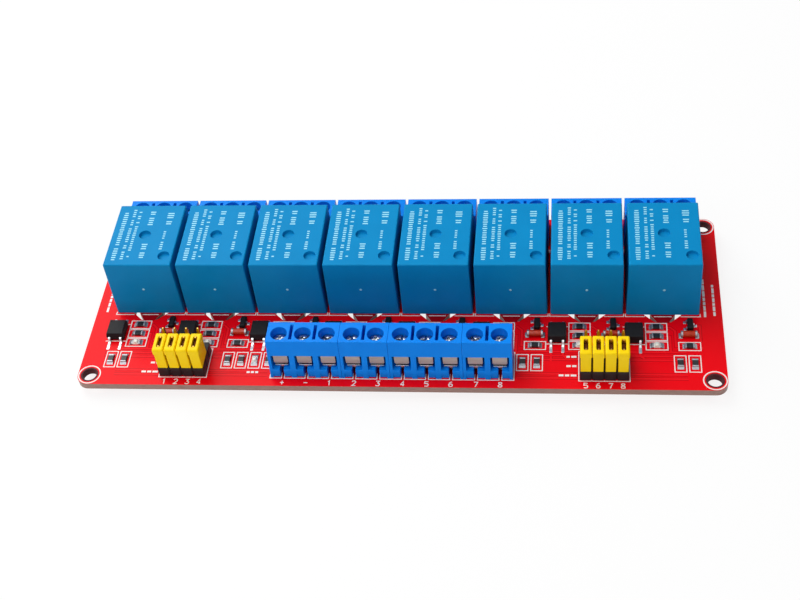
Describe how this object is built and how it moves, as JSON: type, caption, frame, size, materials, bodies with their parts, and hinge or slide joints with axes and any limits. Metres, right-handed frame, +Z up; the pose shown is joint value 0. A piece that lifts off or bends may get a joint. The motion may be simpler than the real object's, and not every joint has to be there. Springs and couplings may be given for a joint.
{
  "type": "relay module board",
  "caption": "Long red circuit board with a row of blue sealed relays, blue screw terminals along both edges, yellow jumper caps on pin headers and small surface parts.",
  "frame": {"origin": "under the middle of the board, at the tips of the soldered pins", "axes": "+X along the board, +Y towards the output terminals, +Z up from the soldered side"},
  "size_m": [0.138, 0.05, 0.0188],
  "materials": {
    "board": "glossy red solder mask over glass-fibre board with white print",
    "relay_blue": "moulded blue relay case",
    "terminal_blue": "moulded blue terminal block",
    "screw_steel": "plated steel screw",
    "guard_metal": "nickel plated strip",
    "tinned_pin": "tinned pin",
    "gilt_pin": "gold flashed square pin",
    "header_black": "moulded black header base",
    "cap_yellow": "moulded yellow jumper cap",
    "clip_metal": "bent contact strip",
    "package_black": "moulded black package",
    "tinned_lead": "tinned lead",
    "diode_glass": "red-orange glass with silver end caps",
    "resistor_black": "black glazed chip with tinned ends",
    "lamp_white": "white chip lamp with a clear lens"
  },
  "bodies": {
    "module": {"circuit_board": "board", "relay_pins": "tinned_pin", "input_terminal_screws": "screw_steel", "output_terminal_screws": "screw_steel", "input_wire_guards": "guard_metal", "output_wire_guards": "guard_metal", "input_terminal_pins": "tinned_pin", "output_terminal_pins": "tinned_pin", "left_header_base": "header_black", "right_header_base": "header_black", "header_pins": "gilt_pin", "optocouplers": "package_black", "optocoupler_leads": "tinned_lead", "transistors": "package_black", "transistor_leads": "tinned_lead", "diodes": "diode_glass", "chip_resistors": "resistor_black", "channel_lamps": "lamp_white", "power_lamp": "lamp_white", "relay_1": "relay_blue", "output_terminal_1": "terminal_blue", "relay_2": "relay_blue", "output_terminal_2": "terminal_blue", "relay_3": "relay_blue", "output_terminal_3": "terminal_blue", "relay_4": "relay_blue", "output_terminal_4": "terminal_blue", "relay_5": "relay_blue", "output_terminal_5": "terminal_blue", "relay_6": "relay_blue", "output_terminal_6": "terminal_blue", "relay_7": "relay_blue", "output_terminal_7": "terminal_blue", "relay_8": "relay_blue", "output_terminal_8": "terminal_blue", "input_terminal_1": "terminal_blue", "input_terminal_2": "terminal_blue", "input_terminal_3": "terminal_blue", "input_terminal_4": "terminal_blue"},
    "jumper_1": {"jumper_cap_1": "cap_yellow", "jumper_clip_1": "clip_metal"},
    "jumper_2": {"jumper_cap_2": "cap_yellow", "jumper_clip_2": "clip_metal"},
    "jumper_3": {"jumper_cap_3": "cap_yellow", "jumper_clip_3": "clip_metal"},
    "jumper_4": {"jumper_cap_4": "cap_yellow", "jumper_clip_4": "clip_metal"},
    "jumper_5": {"jumper_cap_5": "cap_yellow", "jumper_clip_5": "clip_metal"},
    "jumper_6": {"jumper_cap_6": "cap_yellow", "jumper_clip_6": "clip_metal"},
    "jumper_7": {"jumper_cap_7": "cap_yellow", "jumper_clip_7": "clip_metal"},
    "jumper_8": {"jumper_cap_8": "cap_yellow", "jumper_clip_8": "clip_metal"}
  },
  "joints": [
    {"name": "jumper_1_pull", "type": "slide", "parent": "module", "child": "jumper_1", "axis": [0, 0, 1], "range_m": [0, 0.0065]},
    {"name": "jumper_2_pull", "type": "slide", "parent": "module", "child": "jumper_2", "axis": [0, 0, 1], "range_m": [0, 0.0065]},
    {"name": "jumper_3_pull", "type": "slide", "parent": "module", "child": "jumper_3", "axis": [0, 0, 1], "range_m": [0, 0.0065]},
    {"name": "jumper_4_pull", "type": "slide", "parent": "module", "child": "jumper_4", "axis": [0, 0, 1], "range_m": [0, 0.0065]},
    {"name": "jumper_5_pull", "type": "slide", "parent": "module", "child": "jumper_5", "axis": [0, 0, 1], "range_m": [0, 0.0065]},
    {"name": "jumper_6_pull", "type": "slide", "parent": "module", "child": "jumper_6", "axis": [0, 0, 1], "range_m": [0, 0.0065]},
    {"name": "jumper_7_pull", "type": "slide", "parent": "module", "child": "jumper_7", "axis": [0, 0, 1], "range_m": [0, 0.0065]},
    {"name": "jumper_8_pull", "type": "slide", "parent": "module", "child": "jumper_8", "axis": [0, 0, 1], "range_m": [0, 0.0065]}
  ]
}
